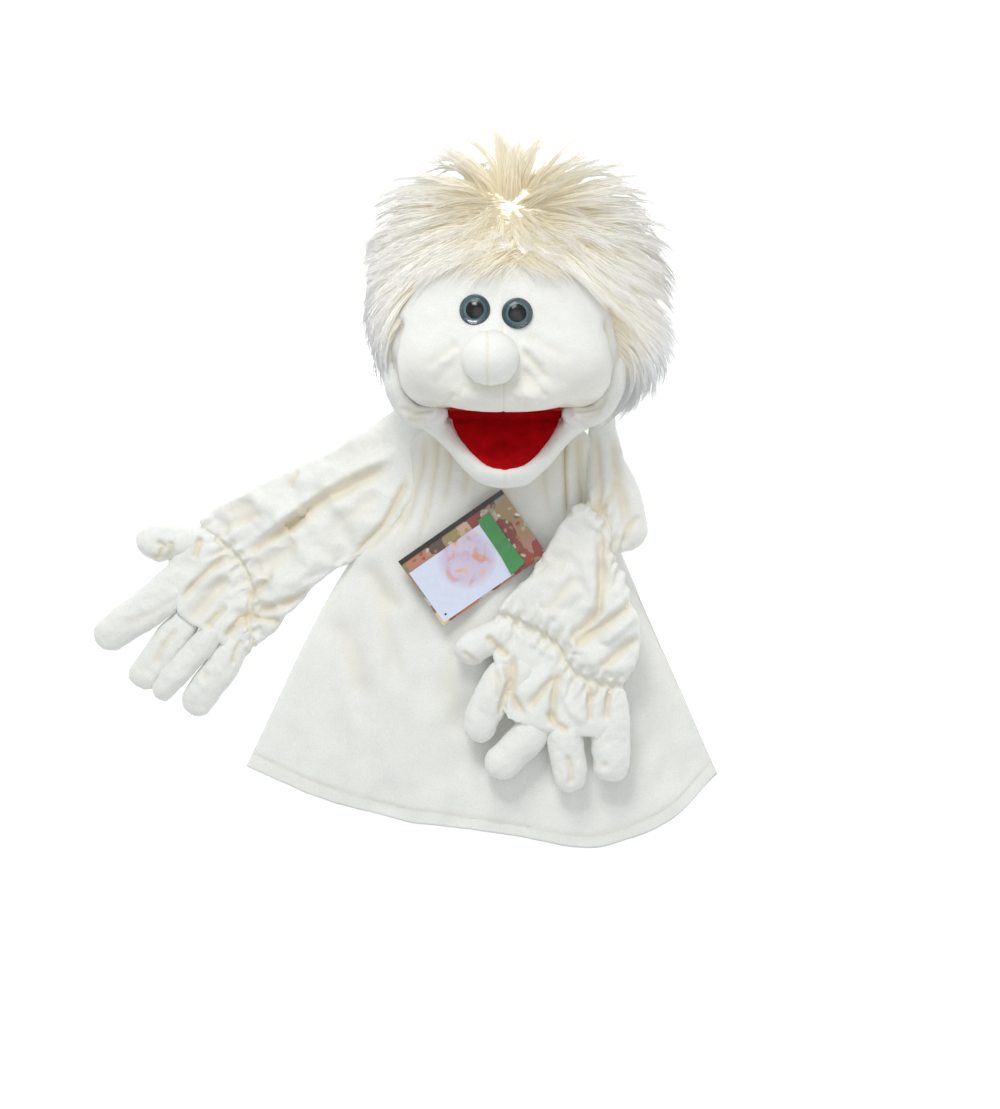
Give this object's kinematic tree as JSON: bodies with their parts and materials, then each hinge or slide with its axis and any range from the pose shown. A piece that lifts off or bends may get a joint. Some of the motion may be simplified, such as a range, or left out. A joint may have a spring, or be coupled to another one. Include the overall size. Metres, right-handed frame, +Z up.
{
  "type": "moving-mouth hand puppet",
  "caption": "Large plush hand puppet lying on its back, with a hinged mouth, fur wig, A-line dress and two gathered sleeves ending in gloves.",
  "frame": {"origin": "on the table, on the flat underside of the dress's back panel, near its middle", "axes": "+X to the viewer's right, +Y from the hem to the crown, +Z up from the table, out of the face. Left and right in names are the viewer's."},
  "size_m": [0.5697, 0.636, 0.2102],
  "materials": {
    "velour": "short-pile off-white velour",
    "fur": "long-pile cream faux fur with paler tips",
    "red_felt": "dark red felt",
    "foam": "soft open-cell foam",
    "mouth_board": "stiff board",
    "eye_teal": "teal plastic",
    "eye_black": "gloss black",
    "eye_clear": "clear dome",
    "washer": "moulded plastic",
    "elastic": "woven elastic",
    "printed_paper": "gloss print with plain colour shapes",
    "card": "smooth pale blue card",
    "ribbon": "glossy green satin"
  },
  "bodies": {
    "torso": {"dress_front_panel": "velour", "dress_back_panel": "velour"},
    "neck": {"neck_sleeve": "velour"},
    "head": {"head_foam": "foam", "face_skin_left": "velour", "face_skin_right": "velour", "head_back_skin": "velour", "nose": "velour", "left_eye_iris": "eye_teal", "left_eye_pupil": "eye_black", "left_eye_lens": "eye_clear", "left_eye_washer": "washer", "right_eye_iris": "eye_teal", "right_eye_pupil": "eye_black", "right_eye_lens": "eye_clear", "right_eye_washer": "washer", "upper_mouth_plate": "mouth_board", "upper_mouth_lining": "red_felt", "wig_left": "fur", "wig_right": "fur", "wig_back": "fur"},
    "jaw": {"jaw_foam": "foam", "jaw_skin": "velour", "lower_mouth_plate": "mouth_board", "lower_mouth_lining": "red_felt"},
    "tag": {"tag_booklet": "printed_paper", "tag_card": "card", "tag_ribbon": "ribbon"},
    "left_upper_arm": {"left_upper_sleeve": "velour", "left_sleeve_elastic": "elastic"},
    "left_forearm": {"left_forearm_sleeve": "velour", "left_wrist_elastic": "elastic"},
    "left_hand": {"left_palm": "velour"},
    "left_thumb_body": {"left_thumb": "velour"},
    "left_index_finger_body": {"left_index_finger": "velour"},
    "left_middle_finger_body": {"left_middle_finger": "velour"},
    "left_ring_finger_body": {"left_ring_finger": "velour"},
    "left_little_finger_body": {"left_little_finger": "velour"},
    "right_upper_arm": {"right_upper_sleeve": "velour", "right_sleeve_elastic": "elastic"},
    "right_forearm": {"right_forearm_sleeve": "velour", "right_wrist_elastic": "elastic"},
    "right_hand": {"right_palm": "velour"},
    "right_thumb_body": {"right_thumb": "velour"},
    "right_index_finger_body": {"right_index_finger": "velour"},
    "right_middle_finger_body": {"right_middle_finger": "velour"},
    "right_ring_finger_body": {"right_ring_finger": "velour"},
    "right_little_finger_body": {"right_little_finger": "velour"}
  },
  "joints": [
    {"name": "head_tilt", "type": "hinge", "parent": "torso", "child": "neck", "pos_m": [0.007, 0.128, 0.032], "axis": [0, 0, 1], "range_deg": [-6, 6]},
    {"name": "head_nod", "type": "hinge", "parent": "neck", "child": "head", "pos_m": [0.007, 0.152, 0.032], "axis": [1, 0, 0], "range_deg": [0, 12]},
    {"name": "jaw", "type": "hinge", "parent": "head", "child": "jaw", "pos_m": [0.007, 0.162, 0.072], "axis": [-1, 0, 0], "range_deg": [-6, 39]},
    {"name": "tag_lift", "type": "hinge", "parent": "torso", "child": "tag", "pos_m": [0.004, 0.099, 0.06], "axis": [-1, 0, 0], "range_deg": [0, 30]},
    {"name": "left_shoulder", "type": "hinge", "parent": "torso", "child": "left_upper_arm", "pos_m": [-0.096, 0.113, 0.014], "axis": [0, 0, 1], "range_deg": [-12, 6]},
    {"name": "left_elbow", "type": "hinge", "parent": "left_upper_arm", "child": "left_forearm", "pos_m": [-0.16191, 0.06945, 0.028], "axis": [-0.5512, 0.8344, 0], "range_deg": [0, 60]},
    {"name": "left_wrist", "type": "hinge", "parent": "left_forearm", "child": "left_hand", "pos_m": [-0.23617, 0.02039, 0.027], "axis": [-0.5512, 0.8344, 0], "range_deg": [0, 40]},
    {"name": "right_shoulder", "type": "hinge", "parent": "torso", "child": "right_upper_arm", "pos_m": [0.106, 0.1, 0.05], "axis": [0, 0, 1], "range_deg": [-2, 14]},
    {"name": "right_elbow", "type": "hinge", "parent": "right_upper_arm", "child": "right_forearm", "pos_m": [0.112, 0.066, 0.07], "axis": [-0.9165, 0.4, 0], "range_deg": [0, 60]},
    {"name": "right_wrist", "type": "hinge", "parent": "right_forearm", "child": "right_hand", "pos_m": [0.066, -0.0394, 0.069], "axis": [-0.9165, 0.4, 0], "range_deg": [0, 40]},
    {"name": "left_thumb_curl", "type": "hinge", "parent": "left_hand", "child": "left_thumb_body", "pos_m": [-0.27568, 0.05661, 0.0239], "axis": [-0.1435, 0.9897, 0], "range_deg": [0, 45]},
    {"name": "left_index_finger_curl", "type": "hinge", "parent": "left_hand", "child": "left_index_finger_body", "pos_m": [-0.29386, 0.02063, 0.0239], "axis": [-0.6282, 0.778, 0], "range_deg": [0, 60]},
    {"name": "left_middle_finger_curl", "type": "hinge", "parent": "left_hand", "child": "left_middle_finger_body", "pos_m": [-0.27762, -0.00939, 0.0239], "axis": [-0.8168, 0.5769, 0], "range_deg": [0, 60]},
    {"name": "left_ring_finger_curl", "type": "hinge", "parent": "left_hand", "child": "left_ring_finger_body", "pos_m": [-0.2558, -0.03153, 0.0239], "axis": [-0.776, 0.6307, 0], "range_deg": [0, 60]},
    {"name": "left_little_finger_curl", "type": "hinge", "parent": "left_hand", "child": "left_little_finger_body", "pos_m": [-0.2323, -0.04896, 0.0239], "axis": [-0.8048, 0.5936, 0], "range_deg": [0, 60]},
    {"name": "right_thumb_curl", "type": "hinge", "parent": "right_hand", "child": "right_thumb_body", "pos_m": [0.00604, -0.03178, 0.0629], "axis": [-0.5407, 0.8412, 0], "range_deg": [0, 45]},
    {"name": "right_index_finger_curl", "type": "hinge", "parent": "right_hand", "child": "right_index_finger_body", "pos_m": [0.00974, -0.06831, 0.0629], "axis": [-0.8556, 0.5176, 0], "range_deg": [0, 60]},
    {"name": "right_middle_finger_curl", "type": "hinge", "parent": "right_hand", "child": "right_middle_finger_body", "pos_m": [0.03667, -0.08661, 0.0629], "axis": [-0.8556, 0.5176, 0], "range_deg": [0, 60]},
    {"name": "right_ring_finger_curl", "type": "hinge", "parent": "right_hand", "child": "right_ring_finger_body", "pos_m": [0.06588, -0.09717, 0.0629], "axis": [-0.9992, -0.0391, 0], "range_deg": [0, 60]},
    {"name": "right_little_finger_curl", "type": "hinge", "parent": "right_hand", "child": "right_little_finger_body", "pos_m": [0.09714, -0.09554, 0.0629], "axis": [-0.992, -0.126, 0], "range_deg": [0, 60]}
  ]
}
